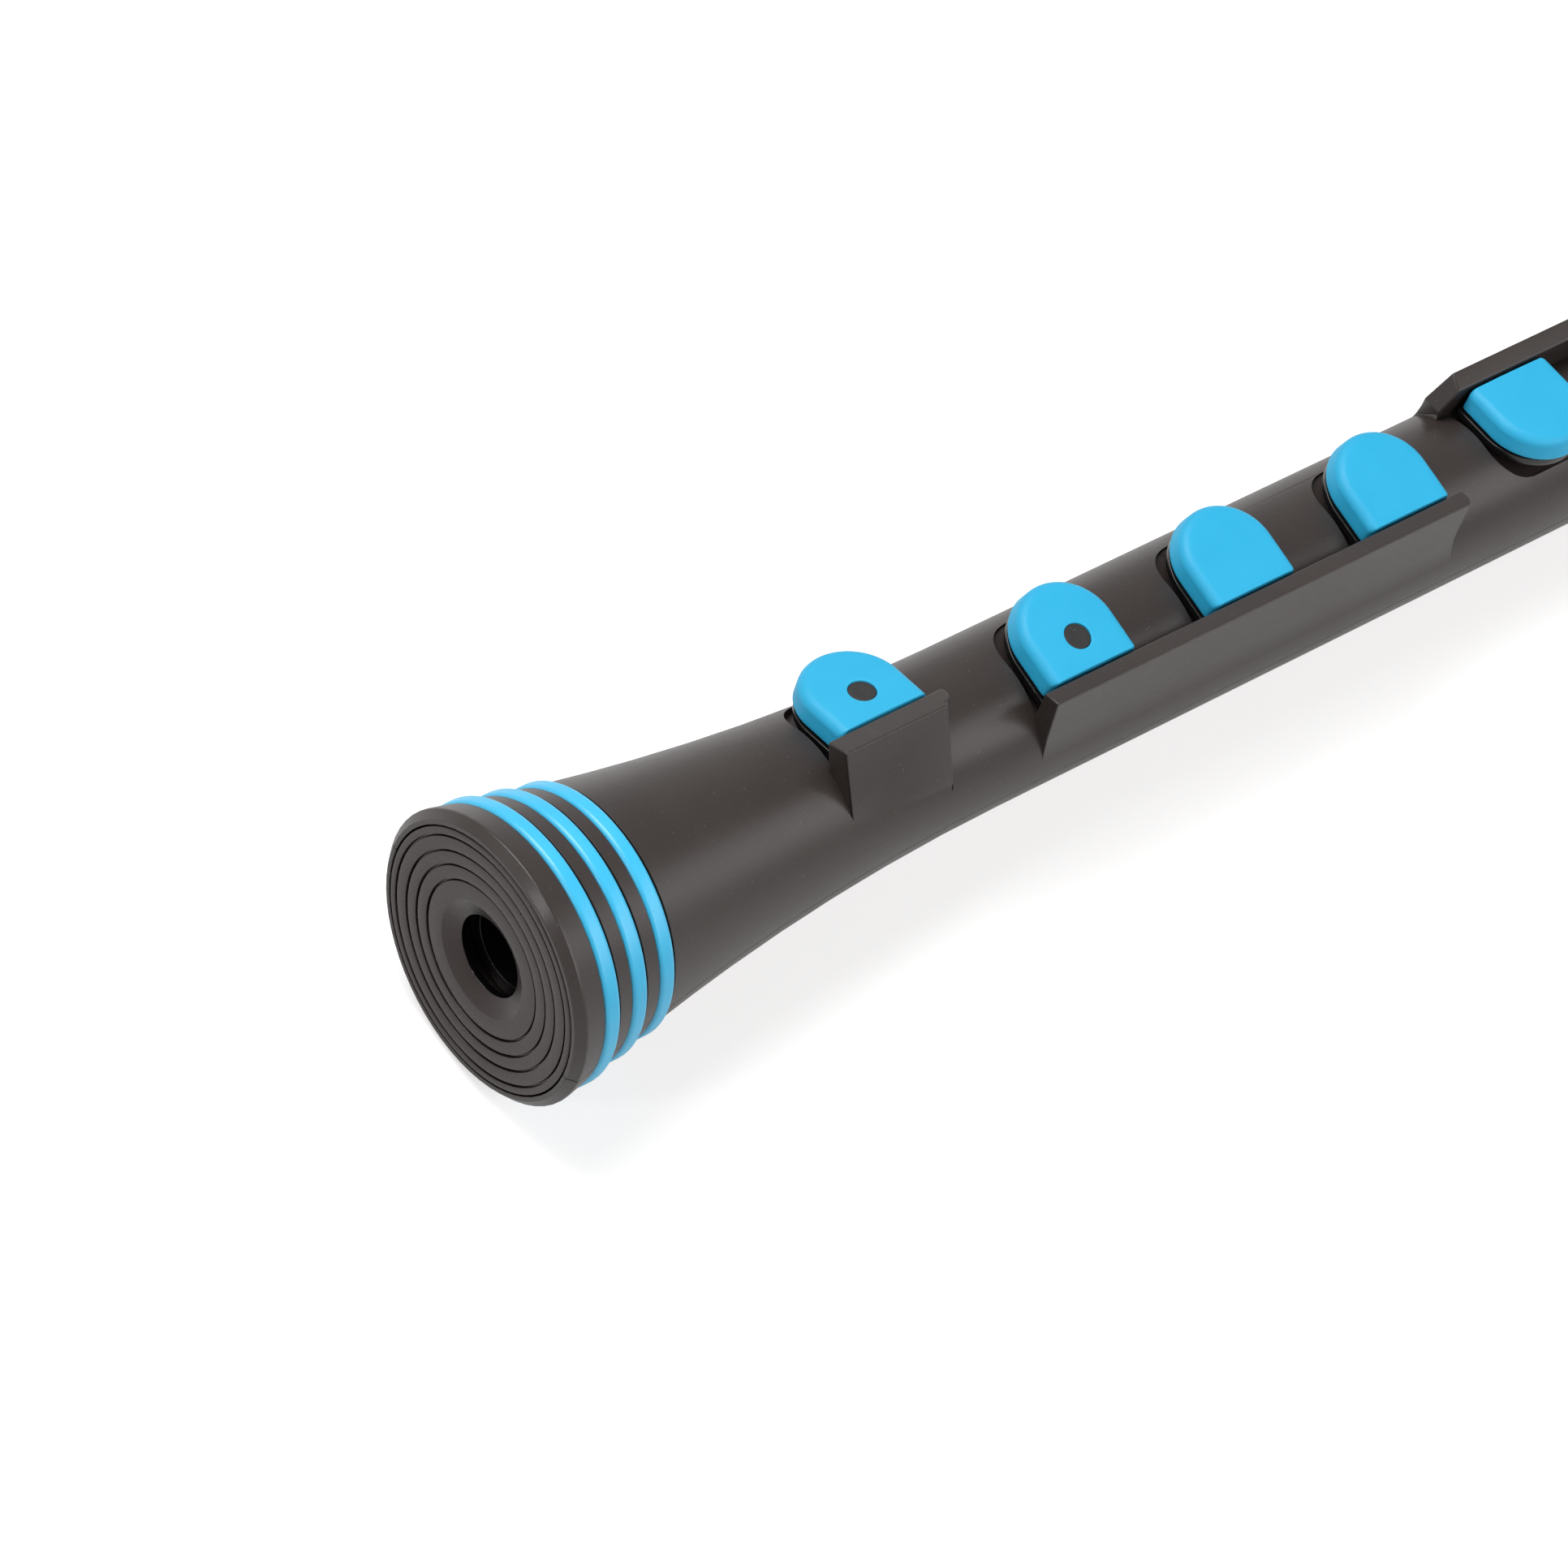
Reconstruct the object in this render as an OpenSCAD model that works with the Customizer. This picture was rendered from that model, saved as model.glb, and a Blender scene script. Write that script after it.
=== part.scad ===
// Keyed recorder, lying on its back with the keys up.
// X runs along the bore, from the foot end at x = 0 to the tip of the mouthpiece.
// +Z is the player's front, where the keys are, and the thumb hole is on -Z.
// Keys 4, 5, 6 and 7 hinge on the -Y side, and keys 1, 2 and 3 on the +Y side.

/* [Body] */
// Outside diameter of the straight body
body_d = 19.8; // [19.7:0.1:20]
// Diameter of the foot end
foot_d = 35; // [34.6:0.2:35.4]
// Where the flare of the foot runs out into the straight body
flare_end = 69; // [68:0.5:70]
// Length of the body up to the head joint
body_len = 238; // [236:1:242]
// Chamfer of the foot rim
rim_chamfer = 0.95; // [0.8:0.05:1]
// Diameter of the bore
bore_d = 11.8; // [11.6:0.1:12]

/* [Foot disc] */
// Diameter of the foot disc
disc_d = 31.8; // [31.4:0.1:31.8]
// Diameter of the hole through the foot disc
foot_hole_d = 9.8; // [9.4:0.1:10]
// Width and depth of the stepped grooves
disc_groove = 0.35; // [0.25:0.05:0.45]

/* [Grip rings] */
// Where the first grip ring starts
ring_start = 4; // [3.8:0.1:4.2]
// Distance from one grip ring to the next
ring_pitch = 4.53; // [4.4:0.01:4.6]
// Width of a grip ring
ring_w = 2.2; // [1.9:0.1:2.3]

/* [Keys] */
// Distance from one key to the next in each hand
key_pitch = 25; // [24.6:0.1:25.2]
// Middle of the lowest right-hand key
key6_x = 80.7; // [80.4:0.1:81]
// Middle of the foot key
key7_x = 52.6; // [52.4:0.1:52.8]
// How far the foot key is turned round the body, in degrees
foot_turn = 22; // [20:1:23]
// How far a key stands open at rest, in degrees
key_open = 6; // [5.5:0.5:6]
// Width of a key cap at its base
cap_w = 13.4; // [13.2:0.1:13.5]
// Length of a key cap away from its rail
cap_len = 12.35; // [12.2:0.05:12.4]

/* [Head] */
// Length of the head from the joint to the tip
head_len = 105; // [103:1:108]
// Outside diameter of the socket
socket_d = 24.4; // [24:0.1:25]
// Outside diameter of the head tube
head_d = 20.8; // [20.6:0.1:21]
// Distance from the tip of the mouthpiece back to the window
window_back = 49; // [48:0.5:50]

/* [Hidden] */

body_r = body_d / 2;
foot_r = foot_d / 2;
bore_r = bore_d / 2;
tube_r = 7;
seam_gap = 0.08;
tenon_r = 8.4;
tenon_len = 24;
rim_land = 0.3;
flare_len = flare_end - rim_chamfer - rim_land;
flare_rise = foot_r - body_r;
flare_r = (pow(flare_len, 2) + pow(flare_rise, 2)) / (2 * flare_rise);
taper_x = [43, 52, 60.5];

// The foot disc, its seat in the rim and the hollow behind it
disc_r = disc_d / 2;
disc_seat_r = 16;
disc_seat_len = 2.8;
disc_back = 5;
foot_hole_r = foot_hole_d / 2;
hollow_r = 13;
hollow_len = 16;
hollow_end = 42;
disc_groove_r = [14.8, 13, 11.3, 9.5];
lip_start = 1.45;
lip_end = 2.3;
tube_start = 4.2;
foot_step_x = 14;
foot_step_r = 5.2;
foot_taper_end = 46;

ring_depth = 1.1;
ring_proud = 0.2;
ring_gap = 0.35;

// The keys: the places of their middles, from key 1 at the top to key 7 at the foot
key_x = [
    key6_x + 5 * key_pitch, key6_x + 4 * key_pitch, key6_x + 3 * key_pitch,
    key6_x + 2 * key_pitch, key6_x + key_pitch, key6_x, key7_x
];
tone_hole_r = [2.7, 2.9, 2.9, 2.9, 2.9, 2.7, 2.5];
foot_lift = 0.45;

// The rails that the keys hinge in: a section as [y, z], drawn for the -Y side
rail_before = 8.4;
rail_after = 7.6;
rail_in = 5.76;
rail_top = 13;
rail_section = [
    [-rail_in, rail_top], [-8, 13.75], [-8.72, 6.4], [-8.99, 4.8], [-9.36, 3.2], [-8.9, 2.2],
    [-6.5, 3.2], [-5, 6], [-rail_in, 8]
];
foot_rail_section = [
    [-rail_in, 13.4], [-9, 13.82], [-9.65, 7], [-9.88, 4.6], [-9.95, 3], [-9.6, 1], [-7.2, 1.5],
    [-5, 6], [-rail_in, 8]
];
leaning_end = [[0, 14], [0.9, 4.4], [1.2, 0]];
ramped_end = [[1, 14], [0.7, 13.4], [-1.2, 9.4], [0.4, 3.5], [0.4, 0]];
rail_corner_r = 1.7;
rail_corner_y = -6.6;

// Hinges, in the frame of a key whose tone hole points straight up
hinge_y = -6.6;
hinge_z = 9.6;
rod_r = 0.5;
barrel_r = 0.95;
barrel_bore_r = 0.55;
barrel_len = 9;
recess_r = 1.15;
recess_len = 9.6;

// Pockets under the keys
pocket_half = 7.6;
pocket_len = 11.8;
pocket_corner_r = 5;
pocket_floor = 7.5;
chimney_r = 3.9;
chimney_top = 7.97;

// A key, in its own tilted frame: z = 0 is the top of the cap, y = 0 the face of the rail
cap_half = cap_w / 2;
cap_h = 3;
cap_start = 0.25;
flange_top = -3.4;
flange_t = 1;
flange_half = 6.9;
flange_len = 12;
boss_top = -1.4;
boss_half = 5.6;
boss_start = 0.9;
boss_len = 11.2;
pad_y = 5.41;
pad_r = 4.6;
pad_t = 1;
pad_bottom = -4.9;
vent_y = 4.42;
plug_r = 1.65;
plug_top = -0.55;
vent_rim_r = 1.95;

// Key springs: closed coils round the hinge rod
wire_r = 0.14;
coil_r = 0.75;
coil_count = 7;
coil_pitch = 0.32;
spring_notch_r = 1.5;
spring_notch_len = 3.2;

// The thumb hole
thumb_x = 214.5;
thumb_hole_r = 3;
thumb_bush_r = 4.4;
thumb_proud = 0.5;

// The head
head_gap = 0.3;
head_start = body_len + head_gap;
head_end = body_len + head_len;
socket_r = socket_d / 2;
head_r = head_d / 2;
socket_bore_r = 8.45;
socket_bore_len = 25.5;
socket_straight = 15;
socket_taper_len = 24;
socket_rise = socket_r - head_r;
socket_arc_r = (pow(socket_taper_len, 2) + pow(socket_rise, 2)) / (2 * socket_rise);
head_bore_r = 6.3;
seal_x = body_len + 12;
seal_wire_r = 0.72;
seal_mid_r = 9.14;
seal_groove_r = 9.9;
seal_groove_w = 1.6;
block_x = head_end - window_back;
window_len = 4.8;
window_half = 4.5;
windway_floor = 4.6;
windway_roof = 5.8;
ramp_len = 18;

plastic_black = "#4b4846";
silicone_blue = "#3cbeee";
rubber_black = "#2b2a2a";
steel = "#b9bcc0";

// A shape turned round the X axis from an outline given as [radius, x]
module turned() rotate([0, 90, 0]) rotate_extrude($fn = 128) children();

// A round bar along X between two places
module bar_x(r, x0, x1) {
    translate([x0, 0, 0]) rotate([0, 90, 0]) cylinder(r = r, h = x1 - x0, $fn = 48);
}

// An outline given as [y, z], carried along X
module prism_x(x0, x1) {
    translate([x0, 0, 0]) rotate([90, 0, 90]) linear_extrude(height = x1 - x0) children();
}

// An outline given as [x, z], carried along Y to both sides
module prism_y(w) rotate([90, 0, 0]) linear_extrude(height = w, center = true) children();

// The letter D that keys are drawn with: straight at the rail, round at the free end
module d_shape(half, start, end) {
    intersection() {
        translate([0, end - half]) circle(r = half, $fn = 64);
        translate([-half - 1, start]) square([2 * half + 2, end - start + 1]);
    }
    translate([-half, start]) square([2 * half, end - half - start]);
}

// Turns a key's place round the body: key 7 leans over, keys 1 to 3 are on the other side
module at_key(i) {
    if (i == 7) {
        rotate([-foot_turn, 0, 0]) translate([key_x[i - 1], 0, foot_lift]) children();
    } else if (i < 4) {
        mirror([0, 1, 0]) translate([key_x[i - 1], 0, 0]) children();
    } else {
        translate([key_x[i - 1], 0, 0]) children();
    }
}

// The tilted frame of an open key
module open_key() translate([0, -rail_in, rail_top]) rotate([key_open, 0, 0]) children();

// Outline of the body as [radius, x]: a long hollow arc from the rim, tapers, a straight tube
module body_outline() {
    square([body_r, body_len]);
    polygon(concat(
        [[0, taper_x[0]]], [for (x = taper_x) [flare_at(x), x]], [[body_r, flare_end], [0, flare_end]]
    ));
    difference() {
        square([foot_r, taper_x[0]]);
        translate([body_r + flare_r, flare_end]) circle(r = flare_r, $fn = 720);
        polygon([
            [foot_r - rim_chamfer, -1], [foot_r - rim_chamfer, 0], [foot_r, rim_chamfer],
            [foot_r + 1, rim_chamfer], [foot_r + 1, -1]
        ]);
    }
}

// Radius of the body's outside at a place in the flare
function flare_at(x) = body_r + flare_r - sqrt(pow(flare_r, 2) - pow(flare_end - x, 2));

// Grooves for the grip rings, each with a narrow gap behind its ring
module ring_grooves() {
    for (i = [0:2]) {
        x = ring_start + i * ring_pitch;
        translate([flare_at(x) - ring_depth, x]) square([4, ring_w + ring_gap]);
    }
}

// The hollow of the body: the seat of the disc, the space in the flare and the tube's place
module body_hollow() {
    translate([0, -1]) square([disc_seat_r, disc_seat_len + 1]);
    square([hollow_r, hollow_len]);
    polygon([[0, hollow_len], [hollow_r - 0.6, hollow_len], [tube_r, hollow_end], [0, hollow_end]]);
    square([tube_r, body_len + 1]);
}

module body_wall() {
    turned() difference() {
        body_outline();
        ring_grooves();
        body_hollow();
    }
}

// The upper or the lower half of space, short of the seam between the two shells
module half_space(side) {
    translate([-1, -30, side > 0 ? seam_gap / 2 : -30 - seam_gap / 2]) cube([body_len + 2, 60, 30]);
}

// A rail along one hand's keys. Its lower end follows an outline of [x from x0, z], and its
// upper end leans out towards the body, with a rounded corner
module rail(x0, x1, section, lower_end, lean) {
    difference() {
        prism_x(x0 - 4, x1 + 4) polygon(section);
        translate([x0, 0, 0]) prism_y(40) polygon(concat([[-6, 20]], lower_end, [[-6, 0]]));
        translate([x1, 0, rail_top]) rotate([0, -lean, 0]) translate([-rail_corner_r, 0, -14]) {
            linear_extrude(height = 18) difference() {
                translate([0, -12]) square([12, 10]);
                translate([0, rail_corner_y]) circle(r = rail_corner_r, $fn = 48);
                translate([-1, rail_corner_y]) square([rail_corner_r + 1, 10]);
            }
        }
    }
}

// The D-shaped pocket that a key closes into
module pocket() {
    side = pocket_half - pocket_corner_r;
    translate([0, -rail_in, pocket_floor]) linear_extrude(height = 12) {
        translate([-pocket_half, 0]) square([2 * pocket_half, pocket_len - pocket_corner_r]);
        for (s = [-side, side]) {
            translate([s, pocket_len - pocket_corner_r]) circle(r = pocket_corner_r, $fn = 48);
        }
        translate([-side, 0]) square([2 * side, pocket_len]);
    }
}

// The recess in a rail for the lever's barrel and spring, open towards the pocket
module barrel_recess() {
    translate([0, hinge_y, hinge_z]) bar_x(recess_r, -recess_len / 2, recess_len / 2);
    translate([-recess_len / 2, hinge_y, hinge_z - 1.6]) {
        cube([recess_len, -hinge_y - rail_in + 1, 1.6 + recess_r]);
    }
}

module key_cuts(i) {
    at_key(i) {
        pocket();
        barrel_recess();
        translate([0, 0, 5]) cylinder(r = chimney_r, h = 5, $fn = 48);
    }
}

module rod_bores(r, inset) {
    rotate([-foot_turn, 0, 0]) translate([0, hinge_y, hinge_z + foot_lift]) {
        bar_x(r, key7_x - rail_before + inset, key7_x + rail_before - inset);
    }
    translate([0, hinge_y, hinge_z]) {
        bar_x(r, key6_x - rail_before + inset, key_x[3] + rail_after - inset);
    }
    translate([0, -hinge_y, hinge_z]) {
        bar_x(r, key_x[2] - rail_before + inset, key_x[0] + rail_after - inset);
    }
}

module upper_shell() {
    color(plastic_black) difference() {
        union() {
            intersection() {
                body_wall();
                half_space(1);
            }
            rail(key6_x - rail_before, key_x[3] + rail_after, rail_section, leaning_end, 10);
            mirror([0, 1, 0]) {
                rail(key_x[2] - rail_before, key_x[0] + rail_after, rail_section, ramped_end, 10);
            }
            rotate([-foot_turn, 0, 0]) {
                rail(key7_x - rail_before - 0.4, key7_x + rail_before - 0.5, foot_rail_section, leaning_end, 4);
            }
        }
        bar_x(tube_r, 20, body_len + 1);
        for (i = [1:7]) key_cuts(i);
        rod_bores(rod_r, 1);
    }
}

module lower_shell() {
    color(plastic_black) difference() {
        intersection() {
            body_wall();
            half_space(-1);
        }
        translate([thumb_x, 0, -body_r - 1]) cylinder(r = thumb_bush_r, h = 8, $fn = 64);
    }
}

// Tone hole chimneys stand up from the tube into the pockets
module bore_tube() {
    color(plastic_black) difference() {
        union() {
            bar_x(tube_r, tube_start, body_len);
            bar_x(tenon_r, body_len, body_len + tenon_len);
            for (i = [1:7]) at_key(i) translate([0, 0, 3]) {
                cylinder(r = chimney_r, h = chimney_top - 3, $fn = 48);
            }
        }
        turned() polygon([
            [0, tube_start - 1], [foot_step_r, tube_start - 1], [foot_step_r, foot_step_x],
            [bore_r, foot_taper_end], [bore_r, body_len + tenon_len + 1], [0, body_len + tenon_len + 1]
        ]);
        for (i = [1:7]) at_key(i) cylinder(r = tone_hole_r[i - 1], h = 12, $fn = 48);
        translate([thumb_x, 0, -12]) cylinder(r = thumb_bush_r, h = 12, $fn = 64);
    }
}

// A disc with stepped rings and a dished middle round the end of the bore
module foot_disc() {
    color(plastic_black) turned() difference() {
        polygon([
            [foot_hole_r, lip_start], [7.1, 0.35], [9.5, 0.25], [9.5, 0.15], [11.3, 0.15],
            [11.3, 0.08], [13, 0.08], [13, 0.03], [14.8, 0.03], [14.8, 0], [disc_r, 0],
            [disc_r, disc_seat_len], [hollow_r - 0.1, disc_seat_len], [hollow_r - 0.1, disc_back],
            [tube_r + 0.1, disc_back], [tube_r + 0.1, lip_end], [foot_hole_r, lip_end]
        ]);
        for (r = disc_groove_r) {
            translate([r - disc_groove / 2, -1]) square([disc_groove, 1.2 + disc_groove]);
        }
    }
}

// A silicone ring with a round back, seated in its groove
module grip_ring(i) {
    x = ring_start + (i - 1) * ring_pitch;
    inner = flare_at(x) - ring_depth;
    crown = ring_w / 2;
    color(silicone_blue) turned() intersection() {
        translate([inner, x]) square([ring_depth + ring_proud, ring_w]);
        union() {
            translate([inner + ring_depth + ring_proud - crown, x + crown]) circle(r = crown, $fn = 40);
            translate([inner - 1, x]) square([1 + ring_depth + ring_proud - crown, ring_w]);
        }
    }
}

// The collar that lines the thumb hole
module thumb_bush() {
    color(plastic_black) difference() {
        translate([thumb_x, 0, -body_r - thumb_proud]) cylinder(r = thumb_bush_r, h = 6, $fn = 64);
        translate([thumb_x, 0, -body_r - 2]) cylinder(r = thumb_hole_r, h = 12, $fn = 48);
        bar_x(bore_r, thumb_x - 8, thumb_x + 8);
    }
}

module hinge_rod(hand) {
    color(steel) {
        if (hand == "foot") rotate([-foot_turn, 0, 0]) translate([0, hinge_y, hinge_z + foot_lift]) {
            bar_x(rod_r, key7_x - rail_before + 1, key7_x + rail_before - 1);
        }
        if (hand == "right") translate([0, hinge_y, hinge_z]) {
            bar_x(rod_r, key6_x - rail_before + 1, key_x[3] + rail_after - 1);
        }
        if (hand == "left") translate([0, -hinge_y, hinge_z]) {
            bar_x(rod_r, key_x[2] - rail_before + 1, key_x[0] + rail_after - 1);
        }
    }
}

// One key's spring: coils round the rod, one leg on the pocket floor, one under the lever
module key_spring() {
    end = (coil_count - 1) / 2 * coil_pitch;
    translate([0, hinge_y, hinge_z]) {
        for (k = [0:coil_count - 1]) translate([k * coil_pitch - end, 0, 0]) rotate([0, 90, 0]) {
            rotate_extrude($fn = 32) translate([coil_r, 0]) circle(r = wire_r, $fn = 16);
        }
        translate([end, 0, -coil_r]) rotate([-90, 0, 0]) cylinder(r = wire_r, h = 1.7, $fn = 16);
        translate([-end, 0, -coil_r]) rotate([-130, 0, 0]) cylinder(r = wire_r, h = 1.6, $fn = 16);
    }
}

module springs(first, last) {
    color(steel) for (i = [first:last]) at_key(i) key_spring();
}

// The lever: a barrel on the rod, a flange over the pocket and a boss inside the cap
module key_lever(i) {
    color(plastic_black) at_key(i) difference() {
        union() {
            open_key() {
                translate([0, 0, flange_top - flange_t]) linear_extrude(height = flange_t) {
                    d_shape(flange_half, 0.2, flange_len);
                }
                translate([0, 0, flange_top]) linear_extrude(height = boss_top - flange_top) {
                    d_shape(boss_half, boss_start, boss_len);
                }
                translate([-barrel_len / 2, -1, flange_top - flange_t]) cube([barrel_len, 1.6, flange_t]);
            }
            translate([0, hinge_y, hinge_z]) bar_x(barrel_r, -barrel_len / 2, barrel_len / 2);
        }
        translate([0, hinge_y, hinge_z]) {
            bar_x(barrel_bore_r, -barrel_len, barrel_len);
            bar_x(spring_notch_r, -spring_notch_len / 2, spring_notch_len / 2);
        }
        open_key() {
            translate([0, pad_y, pad_bottom]) cylinder(r = pad_r, h = pad_t, $fn = 64);
            translate([-spring_notch_len / 2, -1, flange_top - flange_t - 1]) {
                cube([spring_notch_len, 1.8, 1.6]);
            }
            if (i > 5) translate([0, vent_y, pad_bottom]) cylinder(r = plug_r, h = 8, $fn = 32);
        }
    }
}

// The silicone cap: steep sides that draw in to a soft shoulder
module key_cap(i) {
    color(silicone_blue) at_key(i) open_key() difference() {
        hull() {
            translate([0, 0, -cap_h]) linear_extrude(height = 0.1) {
                d_shape(cap_half, cap_start, cap_len, $fn = 32);
            }
            translate([0, 0, -0.9]) linear_extrude(height = 0.05) {
                d_shape(cap_half - 0.25, cap_start, cap_len - 0.15, $fn = 32);
            }
            translate([0, 0, -0.35]) linear_extrude(height = 0.05) {
                d_shape(cap_half - 0.5, cap_start + 0.05, cap_len - 0.4, $fn = 32);
            }
            translate([0, 0, -0.05]) linear_extrude(height = 0.05) {
                d_shape(cap_half - 1, cap_start + 0.2, cap_len - 0.9, $fn = 32);
            }
        }
        translate([0, 0, -cap_h - 1]) linear_extrude(height = cap_h + 1 + boss_top) {
            d_shape(boss_half, boss_start, boss_len);
        }
        if (i > 5) translate([0, vent_y, boss_top - 0.1]) {
            cylinder(r1 = plug_r, r2 = vent_rim_r, h = 0.15 - boss_top, $fn = 48);
        }
    }
}

// The soft pad that closes the tone hole
module key_pad(i) {
    color(rubber_black) at_key(i) open_key() difference() {
        translate([0, pad_y, pad_bottom]) cylinder(r = pad_r, h = pad_t, $fn = 64);
        if (i > 5) translate([0, vent_y, pad_bottom - 1]) cylinder(r = plug_r, h = 8, $fn = 32);
    }
}

// The plug in the vent of the two lowest keys
module key_plug(i) {
    color(rubber_black) at_key(i) open_key() {
        translate([0, vent_y, pad_bottom]) cylinder(r = plug_r, h = plug_top - pad_bottom, $fn = 48);
    }
}

// The rubber ring in the socket, which the head turns on and which slides on the tenon
module socket_seal() {
    color(rubber_black) turned() translate([seal_mid_r, seal_x]) circle(r = seal_wire_r, $fn = 32);
}

// The beak: a top that slopes down, an underside scooped up to the tip, sides drawn in
module beak_cuts() {
    prism_y(40) polygon([
        [head_end - 40, head_r], [head_end - 16, 9.2], [head_end + 1, 7.4],
        [head_end + 1, 20], [head_end - 40, 20]
    ]);
    translate([head_end + 6, 0, -46.5]) rotate([90, 0, 0]) cylinder(r = 46, h = 40, center = true, $fn = 180);
    for (s = [-1, 1]) scale([1, s, 1]) translate([0, 0, -20]) linear_extrude(height = 40) {
        polygon([[head_end - 34, head_r + 0.1], [head_end + 1, 8], [head_end + 1, 20], [head_end - 34, 20]]);
    }
}

module head_outline() {
    translate([0, head_start]) square([head_r, head_len - head_gap]);
    translate([0, head_start]) square([socket_r, socket_straight]);
    translate([0, head_start + socket_straight]) difference() {
        square([socket_r, socket_taper_len]);
        translate([head_r + socket_arc_r, socket_taper_len]) circle(r = socket_arc_r, $fn = 360);
    }
}

module head_shell() {
    color(plastic_black) difference() {
        turned() difference() {
            head_outline();
            translate([0, head_start - 1]) square([socket_bore_r, socket_bore_len + 1]);
            translate([0, head_start]) square([head_bore_r, head_len + 1]);
            translate([0, seal_x - seal_groove_w / 2]) square([seal_groove_r, seal_groove_w]);
        }
        beak_cuts();
        translate([block_x - 1, -window_half, windway_floor - 0.4]) {
            cube([window_back + 2, 2 * window_half, windway_roof - windway_floor + 0.4]);
        }
        prism_y(2 * window_half) polygon([
            [block_x, windway_floor], [block_x, 20], [block_x - window_len - ramp_len - 20, 20],
            [block_x - window_len - ramp_len, head_r], [block_x - window_len, windway_floor]
        ]);
    }
}

// The block that forms the floor of the windway
module windway_block() {
    color(plastic_black) difference() {
        bar_x(head_bore_r, block_x, head_end);
        translate([block_x - 1, -10, windway_floor]) cube([window_back + 2, 20, 10]);
        beak_cuts();
    }
}

upper_shell();
lower_shell();
bore_tube();
foot_disc();
grip_ring(1);  // grip_ring_1
grip_ring(2);  // grip_ring_2
grip_ring(3);  // grip_ring_3
thumb_bush();
hinge_rod("foot");  // hinge_rod_foot
hinge_rod("right");  // hinge_rod_right
hinge_rod("left");  // hinge_rod_left
springs(7, 7);  // spring_foot
springs(4, 6);  // springs_right
springs(1, 3);  // springs_left
key_lever(1);  // key_1_lever
key_cap(1);  // key_1_cap
key_pad(1);  // key_1_pad
key_lever(2);  // key_2_lever
key_cap(2);  // key_2_cap
key_pad(2);  // key_2_pad
key_lever(3);  // key_3_lever
key_cap(3);  // key_3_cap
key_pad(3);  // key_3_pad
key_lever(4);  // key_4_lever
key_cap(4);  // key_4_cap
key_pad(4);  // key_4_pad
key_lever(5);  // key_5_lever
key_cap(5);  // key_5_cap
key_pad(5);  // key_5_pad
key_lever(6);  // key_6_lever
key_cap(6);  // key_6_cap
key_pad(6);  // key_6_pad
key_plug(6);  // key_6_plug
key_lever(7);  // key_7_lever
key_cap(7);  // key_7_cap
key_pad(7);  // key_7_pad
key_plug(7);  // key_7_plug
socket_seal();
head_shell();
windway_block();
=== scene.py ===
"""Looks of the keyed recorder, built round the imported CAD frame.

Lengths are written here in millimetres, or in metres where a name ends in _M. Meshes and
boxes are in metres. X runs along the bore from the foot end, +Z is the side of the keys, and
-Y the side of the right-hand rail.
"""
import math
import bmesh
import bpy
import numpy as np
from mathutils import Matrix, Vector


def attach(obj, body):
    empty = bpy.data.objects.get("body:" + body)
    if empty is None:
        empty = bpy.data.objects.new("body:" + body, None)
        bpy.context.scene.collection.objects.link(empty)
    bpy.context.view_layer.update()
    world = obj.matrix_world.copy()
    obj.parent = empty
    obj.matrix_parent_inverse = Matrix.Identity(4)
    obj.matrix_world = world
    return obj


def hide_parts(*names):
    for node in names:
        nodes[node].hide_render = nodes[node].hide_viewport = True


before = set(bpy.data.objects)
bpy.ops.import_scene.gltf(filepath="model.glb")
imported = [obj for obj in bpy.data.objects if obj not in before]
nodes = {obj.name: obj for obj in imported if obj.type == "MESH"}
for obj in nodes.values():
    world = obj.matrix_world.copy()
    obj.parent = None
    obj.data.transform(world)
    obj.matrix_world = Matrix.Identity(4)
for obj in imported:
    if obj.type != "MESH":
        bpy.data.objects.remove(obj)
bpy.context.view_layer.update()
scene = bpy.context.scene

MM = 0.001

# The values of the source that the looks share
BODY_R, FOOT_R, FLARE_END, RIM_CHAMFER, RIM_LAND = 9.9, 17.5, 69.0, 0.95, 0.3
FLARE_RUN = FLARE_END - RIM_CHAMFER - RIM_LAND
FLARE_R = (FLARE_RUN ** 2 + (FOOT_R - BODY_R) ** 2) / (2 * (FOOT_R - BODY_R))
RING_START, RING_PITCH, RING_W, RING_DEPTH, RING_PROUD = 4.0, 4.53, 2.2, 1.1, 0.2
HOLE_R, DISC_BACK, DISC_SEAT = 4.9, 5.0, 2.8
LIP_START, LIP_END, TUBE_R, TUBE_PLAY = 1.45, 2.3, 7.0, 0.1
KEY_X = {1: 205.7, 2: 180.7, 3: 155.7, 4: 130.7, 5: 105.7, 6: 80.7, 7: 52.6}
FOOT_KEY, LAST_LEFT_KEY, FIRST_VENTED_KEY = 7, 3, 6
RAIL_IN, RAIL_TOP, KEY_OPEN, FOOT_TURN, FOOT_LIFT = 5.76, 13.0, 6.0, 22.0, 0.45
CAP_HALF, CAP_START, CAP_LEN, CAP_H = 6.7, 0.25, 12.35, 3.0
BOSS_HALF, BOSS_START, BOSS_LEN, BOSS_TOP = 5.6, 0.9, 11.2, -1.4
VENT_Y, PLUG_R, PAD_BOTTOM = 4.42, 1.65, -4.9

# Points round a turned surface, the angles in degrees from which an edge stays sharp, and the
# radius of the pinhole that a surface leaves round its own axis
TURN_STEPS, PLUG_STEPS = 256, 64
TURNED_CREASE, MOULDED_CREASE = 40, 35
PINHOLE_R = 0.02

# The cap's wide shoulder, how much it falls further than it reaches in, the draft of the sides,
# the fall of the top from the middle to the side, and the middle of a cap without a vent
CAP_SHOULDER, SHOULDER_EXTRA, CAP_DRAFT, CAP_CROWN, CAP_MIDDLE_Y = 1.35, 0.1, 0.25, 0.16, 5.6
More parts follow.
